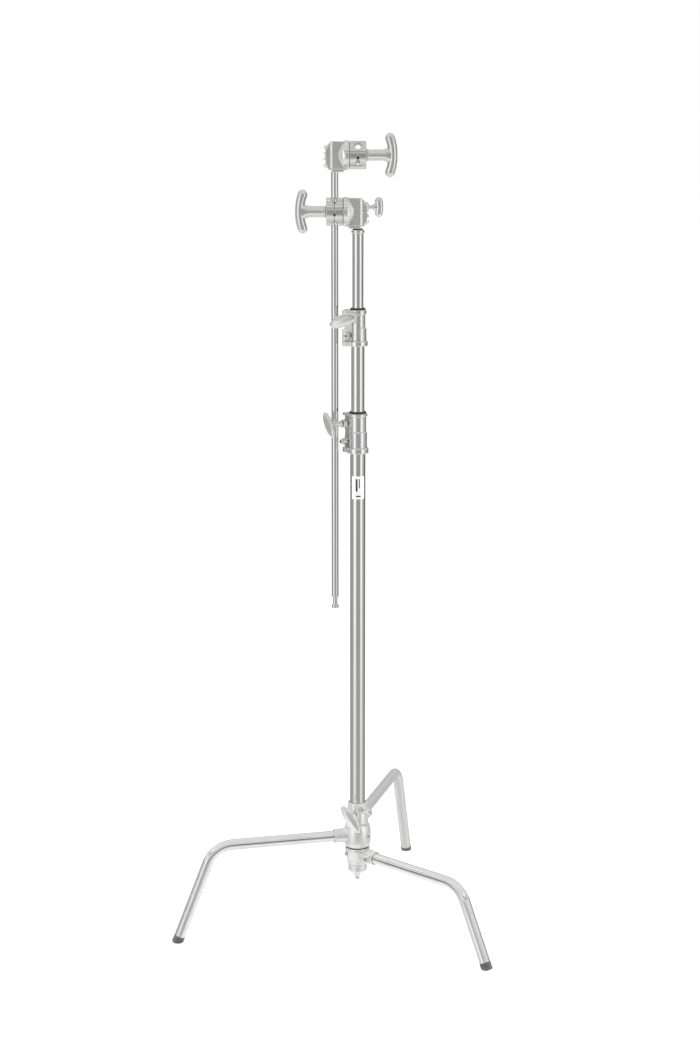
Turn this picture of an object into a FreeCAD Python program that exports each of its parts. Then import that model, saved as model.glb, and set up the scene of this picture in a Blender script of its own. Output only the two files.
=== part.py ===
import FreeCAD, Part
import math
import os

# Lighting and grip stand: a three-leg folding base whose leg castings sit on one
# hub sleeve, a column of three telescoping tubes with clamp collars, a gobo head
# on the top pin, and a 5/8 inch arm with a second gobo head.
# Millimetres. Origin on the floor at the middle of the rectangle the stand
# covers, +Z up, the arm on the -X side of the column, the T-handles of the base
# and collars on its -Y side. Pieces are drawn about the column's axis and moved
# to COLUMN_PLACE when written. Azimuths are degrees from +X towards +Y.

Vector = FreeCAD.Vector
ORIGIN = Vector(0, 0, 0)
X_AXIS = Vector(1, 0, 0)
Y_AXIS = Vector(0, 1, 0)
Z_AXIS = Vector(0, 0, 1)
COLUMN_PLACE = Vector(63.4, -117.9, 0)

RUN = 0.05              # radial clearance of every running fit
PIN_R = 7.94            # 5/8 inch pin and arm

PIECES = {}


# ------------------------------------------------------------------- helpers
def radial(azimuth):
    """Level unit vector at an azimuth."""
    return Vector(math.cos(math.radians(azimuth)), math.sin(math.radians(azimuth)), 0)


def rod(radius, start, direction, length):
    return Part.makeCylinder(radius, length, start, direction)


def rod_x(radius, x0, x1, z=0.0):
    return rod(radius, Vector(x0, 0, z), X_AXIS, x1 - x0)


def rod_y(radius, y0, y1, x, z):
    return rod(radius, Vector(x, y0, z), Y_AXIS, y1 - y0)


def rod_z(radius, z0, z1, x=0.0, y=0.0):
    return rod(radius, Vector(x, y, z0), Z_AXIS, z1 - z0)


def box(x0, x1, y0, y1, z0, z1):
    return Part.makeBox(x1 - x0, y1 - y0, z1 - z0, Vector(x0, y0, z0))


def fuse(first, *rest):
    return first.multiFuse(list(rest)).removeSplitter()


def cut(shape, *tools):
    for tool in tools:
        shape = shape.cut(tool)
    return shape


def fillet(shape, radius, pick):
    """Round the picked edges. The shape stays sharp where the rounding fails."""
    edges = [edge for edge in shape.Edges if pick(edge)]
    if not edges:
        return shape
    # guards against edges the kernel cannot round at this radius
    try:
        rounded = shape.makeFillet(radius, edges)
        if rounded.isValid() and rounded.Volume > 0:
            return rounded
    except Exception:
        pass
    return shape


def centred_at(point):
    """Edge selector: edges whose centre lies at a point."""
    return lambda edge: (edge.CenterOfMass - point).Length < 0.5


def polygon(points):
    return Part.Face(Part.makePolygon(points + [points[0]]))


def lathe(profile):
    """Turned solid about Z from (radius, z) points, in order round the section."""
    return polygon([Vector(r, 0, z) for r, z in profile]).revolve(ORIGIN, Z_AXIS, 360)


def hexagon(across_flats):
    """Corners of a hexagon as pairs of coordinates."""
    radius = across_flats / math.sqrt(3)
    angles = [math.radians(60 * i) for i in range(6)]
    return [(radius * math.cos(a), radius * math.sin(a)) for a in angles]


def hex_x(across_flats, x0, x1):
    corners = [Vector(x0, y, z) for y, z in hexagon(across_flats)]
    return polygon(corners).extrude(Vector(x1 - x0, 0, 0))


def hex_y(across_flats, y0, y1, x, z):
    corners = [Vector(x + dx, y0, z + dz) for dx, dz in hexagon(across_flats)]
    return polygon(corners).extrude(Vector(0, y1 - y0, 0))


def place(shape, origin, x_dir, z_dir=Z_AXIS):
    """Rigid move: local x to x_dir, local z towards z_dir, local origin to origin."""
    x = Vector(x_dir).normalize()
    z = Vector(z_dir)
    z = (z - x * z.dot(x)).normalize()
    y = z.cross(x)
    matrix = FreeCAD.Matrix(x.x, y.x, z.x, origin.x,
                            x.y, y.y, z.y, origin.y,
                            x.z, y.z, z.z, origin.z,
                            0, 0, 0, 1)
    moved = shape.copy()
    moved.Placement = FreeCAD.Placement(matrix).multiply(moved.Placement)
    return moved


def turned(shape, angle):
    """Copy turned about the column's axis."""
    copy = shape.copy()
    copy.rotate(ORIGIN, Z_AXIS, angle)
    return copy


# ---------------------------------------------------------- springs and screws
def coil(radius, wire_r, height, turns):
    """Spring standing on z = 0 along +Z."""
    rise = height - 2 * wire_r
    pitch = rise / turns
    helix = Part.makeHelix(pitch, rise, radius)
    along = Vector(0, 1, pitch / (2 * math.pi * radius))
    section = Part.Wire([Part.makeCircle(wire_r, Vector(radius, 0, 0), along)])
    spring = Part.Wire(helix.Edges).makePipeShell([section], True, True)
    if spring.ShapeType == "Shell":
        spring = Part.Solid(spring)
    spring.translate(Vector(0, 0, wire_r))
    return spring


def cap_screw(shank_r, tip, seat, head_r, top, socket_flats):
    """Socket cap screw along +x; tip, seat and top are x places."""
    screw = fuse(rod_x(shank_r, tip, seat), rod_x(head_r, seat, top))

    def top_rim(edge):
        bounds = edge.BoundBox
        return abs(bounds.XMin - top) < 1e-4 and abs(bounds.XMax - top) < 1e-4

    screw = fillet(screw, min(0.9, head_r * 0.2), top_rim)
    return screw.cut(hex_x(socket_flats, top - (top - seat) * 0.7, top + 1))


# ------------------------------------------------------------------- T-handles
# Both kinds have their screw axis along local x and their long way along z.
# stem is a list of (x0, x1, radius) steps from the screw tip to the bar.
PADDLE_SIZE = (64.0, 27.0, 14.5)        # length, width across, thickness
BASE_PADDLE_SIZE = (74.0, 25.0, 15.0)
PADDLE_NECK_R = 9.0


def stem_and_flare(stem, neck_r, flare_end):
    """Stem steps, with a cone from the last one into the bar."""
    steps = [rod_x(radius, x0, x1) for x0, x1, radius in stem]
    x_last, r_last = stem[-1][1:]
    flare = Part.makeCone(r_last, neck_r, flare_end - x_last, Vector(x_last, 0, 0), X_AXIS)
    return [flare] + steps


def crescent_handle(length, width, thick, sag, bar_x, stem, neck_r):
    """T-handle whose bar is a crescent with ends leaning back towards the stem."""
    half_chord = length / 2 - width / 2
    bend_r = (half_chord * half_chord + sag * sag) / (2 * sag)
    centre_x = bar_x - bend_r
    sweep = math.asin(half_chord / bend_r)
    tip = width / 2
    outer_r = bend_r + tip
    inner_r = bend_r - tip

    def at(radius, angle):
        return Vector(centre_x + radius * math.cos(angle), -thick / 2, radius * math.sin(angle))

    def arc(start, middle, end):
        return Part.Arc(start, middle, end).toShape()

    top = at(bend_r, sweep) + Vector(-math.sin(sweep) * tip, 0, math.cos(sweep) * tip)
    bottom = at(bend_r, -sweep) + Vector(-math.sin(sweep) * tip, 0, -math.cos(sweep) * tip)
    outer = arc(at(outer_r, -sweep), at(outer_r, 0), at(outer_r, sweep))
    inner = arc(at(inner_r, sweep), at(inner_r, 0), at(inner_r, -sweep))
    top_cap = arc(at(outer_r, sweep), top, at(inner_r, sweep))
    bottom_cap = arc(at(inner_r, -sweep), bottom, at(outer_r, -sweep))
    bar = Part.Face(Part.Wire([outer, top_cap, inner, bottom_cap])).extrude(Vector(0, thick, 0))
    bar = fillet(bar, min(width, thick) * 0.40, lambda edge: True)
    flare_end = bar_x - width / 2 + width * 0.3
    return fuse(bar, *stem_and_flare(stem, neck_r, flare_end))


def paddle_handle(bar_x, stem, size):
    """T-handle with an ellipsoid bar."""
    length, across, thick = size
    stretch = FreeCAD.Matrix()
    stretch.scale(thick / 2, across / 2, length / 2)
    bar = Part.makeSphere(1.0).transformGeometry(stretch)
    bar.translate(Vector(bar_x, 0, 0))
    return fuse(bar, *stem_and_flare(stem, PADDLE_NECK_R, bar_x - thick * 0.25))


# ------------------------------------------------------------------------ legs
# Each leg is drawn in its own vertical plane, outwards along local +X.
# bend_r and bend_z place the vertex of the bend; start is measured along the
# leg from the column's axis; screw_x places the screw that grips the tube.
LEG_HIGH = dict(azimuth=75.8, hub_z=258.0, bend_r=412.0, bend_z=248.5, foot_r=522.0,
                start=33.0, screw_x=44.0)       # starts clear of the drum under it
LEG_MID = dict(azimuth=195.3, hub_z=220.0, bend_r=341.0, bend_z=222.6, foot_r=430.0,
               start=24.5, screw_x=46.0)
LEG_LOW = dict(azimuth=-43.2, hub_z=174.0, bend_r=313.0, bend_z=174.0, foot_r=395.0,
               start=24.5, screw_x=46.0)
LEG_R = 12.5
LEG_WALL = 1.6
LEG_BEND_R = 62.0
LEG_END_GAP = 9.0       # from the tube's end to the floor, along the leg
FOOT_R = 13.1
FOOT_TALL = 16.0
SOCKET_R = 16.4
SOCKET_END = 57.0
LUG_REACH = SOCKET_R + 3.4
LEG_SCREW_R = 2.9


def leg_line(leg):
    """Hub, bend and foot points, and the directions of the two straights."""
    hub = Vector(0, 0, leg["hub_z"])
    bend = Vector(leg["bend_r"], 0, leg["bend_z"])
    floor = Vector(leg["foot_r"], 0, 0)
    return hub, bend, floor, (bend - hub).normalize(), (floor - bend).normalize()


def leg_tube(leg):
    """Bent leg tube, open at both ends."""
    hub, bend, floor, out, down = leg_line(leg)
    start = hub + out * leg["start"]
    end = floor - down * LEG_END_GAP
    turn = out.getAngle(down)
    tangent = LEG_BEND_R * math.tan(turn / 2)
    bend_in = bend - out * tangent
    bend_out = bend + down * tangent
    centre = bend_in + (down - out * out.dot(down)).normalize() * LEG_BEND_R

    def bent_rod(radius, over):
        section = Part.Face(Part.Wire([Part.makeCircle(radius, bend_in, out)]))
        elbow = section.revolve(centre, Y_AXIS, math.degrees(turn))
        first = rod(radius, start - out * over, out, (bend_in - start).Length + over)
        last = rod(radius, bend_out, down, (end - bend_out).Length + over)
        return fuse(first, elbow, last)

    return bent_rod(LEG_R, 0.0).cut(bent_rod(LEG_R - LEG_WALL, 2.0))


def leg_foot(leg):
    """Rubber foot, flat on the floor, with a plug inside the tube's end."""
    floor, down = leg_line(leg)[2::2]
    end = floor - down * LEG_END_GAP
    top = floor - down * FOOT_TALL
    foot = rod(FOOT_R, top, down, FOOT_TALL + 12)
    foot = fillet(foot, 1.2, centred_at(top))
    foot = foot.cut(box(floor.x - 60, floor.x + 60, -60, 60, -60, 0))
    foot = fillet(foot, 2.4, lambda edge: edge.BoundBox.ZMax < 0.01 and edge.Length > 20)
    foot = foot.cut(rod(LEG_R, end - down * 40, down, 40))
    return fuse(foot, rod(LEG_R - LEG_WALL, end - down * 14, down, 14))


def leg_socket(leg):
    """Solid leg socket with the lug for its clamp screw on the -y side."""
    hub, out = leg_line(leg)[0::3]
    socket = rod(SOCKET_R, hub, out, SOCKET_END)
    socket = fillet(socket, 2.0, centred_at(hub + out * SOCKET_END))
    lug = box(20, SOCKET_END - 4, -LUG_REACH, 0, hub.z - 9.5, hub.z + 9.5)
    lug = fillet(lug, 3.0, lambda edge: edge.BoundBox.YMax < -SOCKET_R)
    return fuse(socket, lug)


# ------------------------------------------------------------------------- hub
SLEEVE_IN_R = 17.55
SLEEVE_R = 19.5
SLEEVE_Z0 = 150.0
HUB_TOP = 300.0
HIGH_Z0 = 249.3
MID_Z0, MID_Z1 = 191.2, 249.0
LOW_Z0, LOW_Z1 = 150.3, 190.9
CAP_Z0, CAP_Z1 = 127.0, 150.0
TIE_BOLT_R = 5.0
BASE_HANDLE_AZIMUTH = 255.0
BASE_HANDLE_Z = 276.0
BASE_SCREW_R = 5.0
BASE_BAR_TILT = 55.0    # degrees from -X up towards +Z

# cap screws through the drums of the castings: height, azimuth, screw
HIGH_SCREWS = [
    (288.0, -70.0, dict(shank_r=3.0, tip=SLEEVE_R + 0.4, seat=27.5,
                        head_r=5.6, top=30.6, socket_flats=5.5)),
    (275.0, -4.0, dict(shank_r=3.0, tip=SLEEVE_R + 0.4, seat=27.5,
                       head_r=4.4, top=33.0, socket_flats=4.0))]
MID_SCREWS = [
    (221.0, -40.0, dict(shank_r=2.9, tip=SLEEVE_R + 0.5, seat=31.2,
                        head_r=4.6, top=33.4, socket_flats=4.0))]
LOW_SCREWS = [
    (176.0, 205.0, dict(shank_r=2.9, tip=SLEEVE_R + 0.5, seat=29.0,
                        head_r=4.6, top=31.2, socket_flats=4.0))]


def base_screw_hole():
    return rod(BASE_SCREW_R + RUN, Vector(0, 0, BASE_HANDLE_Z), radial(BASE_HANDLE_AZIMUTH), 40)


def add_leg(name, leg, casting, sleeve_r, drum_screws, cutters=()):
    """Bore a leg casting and add it with its tube, foot and screws.

    The casting comes in the leg's frame; the cutters are in the column's frame.
    """
    hub, out = leg_line(leg)[0::3]
    azimuth = leg["azimuth"]
    screw_place = Vector(leg["screw_x"], 0, leg["hub_z"])
    screw_hole = place(rod_x(LEG_SCREW_R, LEG_R - 1, SOCKET_R + 6), screw_place, -Y_AXIS)
    casting = cut(casting, rod_z(sleeve_r, 100, 320),
                  rod(LEG_R, hub + out * leg["start"], out, 60), screw_hole)
    casting = cut(turned(casting, azimuth), *cutters)

    clamp = cap_screw(shank_r=LEG_SCREW_R, tip=LEG_R + 0.6, seat=LUG_REACH,
                      head_r=4.8, top=LUG_REACH + 3.6, socket_flats=5.0)
    screws = [turned(place(clamp, screw_place, -Y_AXIS), azimuth)]
    for z, screw_azimuth, screw in drum_screws:
        axis_point = Vector(0, 0, z)
        casting = casting.cut(rod(screw["shank_r"], axis_point, radial(screw_azimuth), 40))
        screws.append(place(cap_screw(**screw), axis_point, radial(screw_azimuth)))

    PIECES[name + "_leg_casting"] = casting
    PIECES[name + "_leg_tube"] = turned(leg_tube(leg), azimuth)
    PIECES[name + "_leg_foot"] = turned(leg_foot(leg), azimuth)
    PIECES[name + "_leg_screws"] = Part.makeCompound(screws)


def high_casting():
    """Top casting, fixed on the sleeve, with bosses for its three screws."""
    drum = lathe([(0, HIGH_Z0), (24.5, HIGH_Z0), (25.2, HIGH_Z0 + 2), (25.0, HIGH_Z0 + 22),
                  (23.0, HIGH_Z0 + 36), (23.0, HUB_TOP - 2), (21.6, HUB_TOP), (0, HUB_TOP)])
    # the socket's inner end is cut level with the drum's underside
    socket = leg_socket(LEG_HIGH).cut(box(-80, 32.5, -80, 80, 100, HIGH_Z0))
    casting = fuse(drum, socket)
    handle_boss = rod(10.0, Vector(0, 0, BASE_HANDLE_Z), radial(BASE_HANDLE_AZIMUTH), 31.0)
    (z1, azimuth1, screw1), (z2, azimuth2, screw2) = HIGH_SCREWS
    end1 = Vector(0, 0, z1) + radial(azimuth1) * screw1["seat"]
    boss1 = rod(11.5, Vector(0, 0, z1), radial(azimuth1), screw1["seat"])
    boss1 = fillet(boss1, 2.0, centred_at(end1))
    boss1 = boss1.common(rod_z(60, HIGH_Z0, HUB_TOP))
    boss2 = rod(6.5, Vector(0, 0, z2), radial(azimuth2), screw2["seat"])
    for boss in (handle_boss, boss1, boss2):
        casting = casting.fuse(turned(boss, -LEG_HIGH["azimuth"]))
    return casting.removeSplitter()


def mid_casting():
    """Ball-like drum that turns on the sleeve."""
    middle = (MID_Z0 + MID_Z1) / 2
    profile = [(0, MID_Z0)]
    for i in range(13):
        t = -1 + i / 6.0
        bulge = 5.8 * math.sqrt(max(0.0, 1 - abs(t) ** 2.6))
        profile.append((25.4 + bulge, middle + t * (MID_Z1 - MID_Z0) / 2))
    profile.append((0, MID_Z1))
    return fuse(lathe(profile), leg_socket(LEG_MID))


def mid_slots():
    """Slots in the upper and lower rims of the middle casting."""
    return [turned(box(24.5, 40, -8, 8, MID_Z1 - 5.0, MID_Z1 + 1), -38.0),
            turned(box(24.5, 40, -8, 8, MID_Z0 - 1, MID_Z0 + 4.5), 236.0)]


def low_casting():
    """Tapered drum under the middle one."""
    drum = lathe([(0, LOW_Z0), (22.6, LOW_Z0), (23.4, LOW_Z0 + 1), (24.6, LOW_Z0 + 12),
                  (27.2, LOW_Z0 + 24), (29.0, LOW_Z1 - 8), (29.0, LOW_Z1 - 1.5),
                  (28.0, LOW_Z1), (0, LOW_Z1)])
    return fuse(drum, leg_socket(LEG_LOW))


def hub_sleeve():
    sleeve = rod_z(SLEEVE_R, SLEEVE_Z0, HUB_TOP).cut(rod_z(SLEEVE_IN_R, 140, 310))
    return sleeve.cut(base_screw_hole())


def hub_cap():
    """Cup under the sleeve that holds the spring."""
    cap = lathe([(0, CAP_Z0), (12.0, CAP_Z0), (17.5, CAP_Z0 + 2.6), (20.6, CAP_Z0 + 6.0),
                 (22.2, CAP_Z0 + 8.0), (22.2, CAP_Z0 + 17.6), (21.4, CAP_Z0 + 18.4),
                 (22.4, CAP_Z0 + 19.4), (22.4, CAP_Z1), (0, CAP_Z1)])
    return cut(cap, rod_z(16.5, CAP_Z0 + 4, CAP_Z1 + 1), rod_z(TIE_BOLT_R, 100, 170))


def hub_spring():
    spring = coil(radius=10.5, wire_r=1.5, height=20.3, turns=4.0)
    spring.translate(Vector(0, 0, 131.3))
    return spring


def hub_nut():
    nut = hex_x(14.0, 0, 9.8).cut(rod_x(TIE_BOLT_R, -1, 20))
    return place(nut, Vector(0, 0, 117.0), Z_AXIS, X_AXIS)


def base_handle():
    """T-handle whose screw clamps the column in the sleeve."""
    stem = [(17.7, 32.0, BASE_SCREW_R), (32.0, 34.0, 4.4), (34.0, 49.0, 6.4)]
    handle = paddle_handle(62.0, stem, BASE_PADDLE_SIZE)
    tilt = math.radians(BASE_BAR_TILT)
    bar = Z_AXIS * math.sin(tilt) - X_AXIS * math.cos(tilt)
    return place(handle, Vector(0, 0, BASE_HANDLE_Z), radial(BASE_HANDLE_AZIMUTH), bar)


add_leg("high", LEG_HIGH, high_casting(), SLEEVE_R, HIGH_SCREWS, [base_screw_hole()])
add_leg("mid", LEG_MID, mid_casting(), SLEEVE_R + RUN, MID_SCREWS, mid_slots())
add_leg("low", LEG_LOW, low_casting(), SLEEVE_R + RUN, LOW_SCREWS)
PIECES["hub_sleeve"] = hub_sleeve()
PIECES["hub_plug"] = rod_z(SLEEVE_IN_R, 152.0, 160.0).cut(rod_z(TIE_BOLT_R, 150, 162))
PIECES["hub_tie_bolt"] = fillet(rod_z(TIE_BOLT_R, 111.0, 160.5), 1.5,
                                lambda edge: edge.BoundBox.ZMax < 111.5)
PIECES["hub_cap"] = hub_cap()
PIECES["hub_spring"] = hub_spring()
PIECES["hub_nut"] = hub_nut()
PIECES["base_t_handle"] = base_handle()


# ---------------------------------------------------------------- column tubes
LOWER_R, LOWER_WALL = 17.5, 1.5
MIDDLE_R, MIDDLE_WALL = 15.0, 1.5
TOP_R, TOP_WALL = 12.5, 1.2
LOWER_Z = (161.0, 1175.0)
MIDDLE_Z = (312.0, 1405.0)
TOP_Z = (480.0, 1611.6)
PIN_TOP = 1676.0
FERRULE_TOP = 1619.0
LABEL_Z, LABEL_TALL, LABEL_THICK = 1017.0, 53.0, 0.18
LABEL_SPAN, LABEL_AZIMUTH = 97, -87.0       # degrees, azimuth of its middle


def column_tube(radius, wall, z_range):
    z0, z1 = z_range
    return rod_z(radius, z0, z1).cut(rod_z(radius - wall, z0 - 1, z1 + 1))


def guide_bush(bore_r, tube_r, z0, tall):
    """Bush on the lower end of an inner tube, running in the tube outside it."""
    return rod_z(bore_r - RUN, z0, z0 + tall).cut(rod_z(tube_r, 0, 2000))


def tube_label():
    """Blank label wrapped on the lower tube."""
    label = Part.makeCylinder(LOWER_R + LABEL_THICK, LABEL_TALL,
                              Vector(0, 0, LABEL_Z), Z_AXIS, LABEL_SPAN)
    label = label.cut(rod_z(LOWER_R, 1000, 1100))
    return turned(label, LABEL_AZIMUTH - LABEL_SPAN / 2)


def top_pin():
    """5/8 inch pin on a plug in the top tube."""
    pin = fuse(rod_z(PIN_R, 1590.0, PIN_TOP), rod_z(TOP_R - TOP_WALL, 1575.0, TOP_Z[1]))
    return fillet(pin, 1.5, lambda edge: edge.BoundBox.ZMin > PIN_TOP - 0.01)


PIECES["lower_tube"] = column_tube(LOWER_R, LOWER_WALL, LOWER_Z)
PIECES["middle_tube"] = column_tube(MIDDLE_R, MIDDLE_WALL, MIDDLE_Z)
PIECES["top_tube"] = column_tube(TOP_R, TOP_WALL, TOP_Z)
PIECES["middle_tube_guide"] = guide_bush(LOWER_R - LOWER_WALL, MIDDLE_R, MIDDLE_Z[0], 36)
PIECES["top_tube_guide"] = guide_bush(MIDDLE_R - MIDDLE_WALL, TOP_R, TOP_Z[0], 32)
PIECES["tube_label"] = tube_label()
PIECES["top_pin"] = top_pin()
PIECES["top_ferrule"] = lathe([(PIN_R, TOP_Z[1]), (13.4, TOP_Z[1]), (14.6, 1613.2),
                               (14.6, 1617.4), (13.4, FERRULE_TOP), (PIN_R, FERRULE_TOP)])
PIECES["pin_ring"] = rod_z(11.5, FERRULE_TOP, 1621.9).cut(rod_z(PIN_R, 1600, 1630))


# --------------------------------------------------------------------- collars
# Local frame: x towards the ears, y along the clamp screws.
# levels are the bottom, foot top, shoulder top, rim bottom and top.
# azimuth is that of local +y; ear_x is the clamp screws' distance from the axis;
# handle_roll turns the handle's bar from vertical.
COLLARS = [
    dict(name="lower", levels=(1120.6, 1133.0, 1171.0, 1204.3, 1210.6),
         foot_r=24.5, shoulder_r=21.2, waist_r=19.2, rim_r=22.0,
         tube_r=LOWER_R, tube_top=LOWER_Z[1], run_r=MIDDLE_R + RUN,
         azimuth=214.0, ear_x=22.7, ear_reach=37.0, ear_half=13.0,
         handle_z=1186.5, bolt_z=1146.0, handle_boss_r=9.5, bolt_boss_r=7.6,
         boss_end=27.0, handle_roll=37.0, bush_r=19.3, bush_top=1215.0),
    dict(name="middle", levels=(1362.4, 1373.8, 1405.0, 1432.4, 1443.0),
         foot_r=22.3, shoulder_r=19.4, waist_r=16.9, rim_r=19.4,
         tube_r=MIDDLE_R, tube_top=MIDDLE_Z[1], run_r=TOP_R + RUN,
         azimuth=258.0, ear_x=20.4, ear_reach=34.0, ear_half=12.0,
         handle_z=1424.0, bolt_z=1386.5, handle_boss_r=9.0, bolt_boss_r=7.2,
         boss_end=26.0, handle_roll=-68.0, bush_r=17.0, bush_top=1447.0)]
COLLAR_BAR_X = 63.0
COLLAR_HANDLE_R = 4.0
COLLAR_BOLT_R = 3.0
HANDLE_NUT_FLATS = 13.0
BOLT_NUT_FLATS = 10.0


def ear_plate(x1, y0, y1, z0, z1, round_r):
    """Plate out to x1 with its two upright outer edges rounded."""
    def outer_upright(edge):
        bounds = edge.BoundBox
        return bounds.XMin > x1 - 0.01 and abs(bounds.ZLength - (z1 - z0)) < 0.01

    return fillet(box(6.0, x1, y0, y1, z0, z1), round_r, outer_upright)


def collar_body(c):
    """Split clamp collar."""
    z0, z1, z2, z3, z4 = c["levels"]
    foot_r, waist_r, rim_r = c["foot_r"], c["waist_r"], c["rim_r"]
    shoulder_r, run_r, tube_top = c["shoulder_r"], c["run_r"], c["tube_top"]
    ear_x, reach, half, boss_end = c["ear_x"], c["ear_reach"], c["ear_half"], c["boss_end"]
    handle_z, bolt_z = c["handle_z"], c["bolt_z"]

    core = lathe([(0, z0), (foot_r - 1.0, z0), (foot_r, z0 + 1.0), (foot_r, z1 - 1.2),
                  (foot_r - 1.2, z1), (waist_r, z1), (waist_r, z3), (rim_r - 0.8, z3),
                  (rim_r, z3 + 0.8), (rim_r, z4 - 1.0), (rim_r - 1.0, z4), (0, z4)])
    # the shoulder band reaches round from azimuth 118 to the ears at 360
    band = lathe([(0, z1 - 1), (shoulder_r, z1 - 1), (shoulder_r, z2 - 3),
                  (waist_r - 0.5, z2), (0, z2)])
    sector = Part.makeCylinder(60, 200, Vector(0, 0, z0 - 20), Z_AXIS, 242)
    sector.rotate(ORIGIN, Z_AXIS, 118)
    band = band.common(sector)

    ear = ear_plate(reach, -half, half, z0 + 2.5, z4 - 1.5, 5.5)
    ear = ear.cut(rod_y(6.0, -30, 30, reach + 0.5, (handle_z + bolt_z) / 2))
    flanges = [ear_plate(reach - 2.0, -half - 1.6, half + 7.0, bottom, top, 5.0)
               for bottom, top in ((z0, z1 - 0.8), (z3 + 0.4, z4 - 0.4))]

    handle_boss = rod_y(c["handle_boss_r"], 0, boss_end, ear_x, handle_z)
    bolt_boss = rod_y(c["bolt_boss_r"], 0, boss_end - 0.5, ear_x, bolt_z)
    handle_boss = fillet(handle_boss, 1.6, lambda edge: edge.BoundBox.YMin > boss_end - 0.01)
    bolt_boss = fillet(bolt_boss, 1.4, lambda edge: edge.BoundBox.YMin > boss_end - 0.51)
    nut_boss = rod_y(c["handle_boss_r"] - 0.8, -half - 3.0, 0, ear_x, handle_z)
    body = fuse(core, band, ear, *flanges, handle_boss, bolt_boss, nut_boss)
    return cut(body,
               rod_z(c["tube_r"], z0 - 1, tube_top),
               rod_z(run_r, tube_top - 1, z4 + 1),
               box(run_r - 3, 60, -1.1, 1.1, z0 - 1, z4 + 1),
               rod_y(COLLAR_HANDLE_R + 0.1, -60, 60, ear_x, handle_z),
               rod_y(COLLAR_BOLT_R, -60, 60, ear_x, bolt_z),
               hex_y(HANDLE_NUT_FLATS, -half - 30, -half + 2.0, ear_x, handle_z),
               hex_y(BOLT_NUT_FLATS, -half - 30, -half + 1.0, ear_x, bolt_z))


def collar_bolt(c):
    bolt = cap_screw(shank_r=COLLAR_BOLT_R, tip=-c["ear_half"] - 4.0, seat=c["boss_end"] - 0.5,
                     head_r=5.2, top=c["boss_end"] + 4.6, socket_flats=5.0)
    return place(bolt, Vector(c["ear_x"], 0, c["bolt_z"]), Y_AXIS)


def collar_nuts(c):
    """Nuts of the handle and of the bolt, let into the -y ear."""
    x, half = c["ear_x"], c["ear_half"]
    nuts = []
    for flats, sunk, bore_r, z in (
            (HANDLE_NUT_FLATS, 2.0, COLLAR_HANDLE_R + RUN, c["handle_z"]),
            (BOLT_NUT_FLATS, 1.0, COLLAR_BOLT_R, c["bolt_z"])):
        nut = hex_y(flats, -half - 4.0, -half + sunk, x, z)
        nuts.append(nut.cut(rod_y(bore_r, -60, 60, x, z)))
    return Part.makeCompound(nuts)


def collar_handle(c):
    """T-handle on the upper clamp screw, in the column's frame."""
    seat = c["boss_end"]
    stem = [(-c["ear_half"] - 5.0, seat + 0.2, COLLAR_HANDLE_R),
            (seat + 0.2, seat + 2.2, 5.4),
            (seat + 2.2, COLLAR_BAR_X - 12.5, 6.6)]
    handle = paddle_handle(COLLAR_BAR_X, stem, PADDLE_SIZE)
    ear_dir = radial(c["azimuth"] - 90.0)
    roll = math.radians(c["handle_roll"])
    bar = Z_AXIS * math.cos(roll) + ear_dir * math.sin(roll)
    origin = ear_dir * c["ear_x"] + Vector(0, 0, c["handle_z"])
    return place(handle, origin, radial(c["azimuth"]), bar)


def collar_bush(c):
    """Black plastic ring on top of the collar."""
    bottom, top = c["levels"][-1], c["bush_top"]
    bush = fillet(rod_z(c["bush_r"], bottom, top), 0.8,
                  lambda edge: edge.BoundBox.ZMin > top - 0.1)
    return bush.cut(rod_z(c["run_r"], bottom - 1, top + 1))


for collar in COLLARS:
    name, turn = collar["name"], collar["azimuth"] - 90.0
    PIECES[name + "_collar"] = turned(collar_body(collar), turn)
    PIECES[name + "_collar_bolt"] = turned(collar_bolt(collar), turn)
    PIECES[name + "_collar_nuts"] = turned(collar_nuts(collar), turn)
    PIECES[name + "_collar_bush"] = collar_bush(collar)
    PIECES[name + "_t_handle"] = collar_handle(collar)


# ----------------------------------------------------------------- gobo heads
# Local frame: x along the main bolt towards the jaws, y across the bolt, z up.
# The pin socket runs along z through the origin, behind the disc.
DISC_R, DISC_X0, DISC_X1 = 31.9, 21.0, 32.0
BLOCK_X0, BLOCK_Y = -10.6, 14.0
BLOCK_Z0, BLOCK_Z1 = -36.5, 29.5
LIP_TALL = 6.5
FRICTION_THICK = 0.8
JAW_R = 30.5
SEAM_X = 51.4           # plane where the two jaws meet
INNER_JAW_X = (32.9, SEAM_X - 0.1)
OUTER_JAW_X = (SEAM_X + 0.1, 69.8)
GROOVE_Y = -17.0        # centre of the 5/8 inch groove
SMALL_GROOVE_Y = 19.0   # centre of the 3/8 inch groove
SMALL_ROD_R = 4.76
BOLT_R, BOLT_HEAD_R = 4.75, 7.4
BOLT_X0, BOLT_HEAD_X1, BOLT_X1 = 10.5, 16.0, 112.0
HANDLE_X0 = 71.5
LOCK_Z = 10.0           # lock screw or cross pin above the main bolt
LOCK_SCREW_R = 4.75
CROSS_PIN_R = 2.0
CROSS_PIN_END = 7.0

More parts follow.
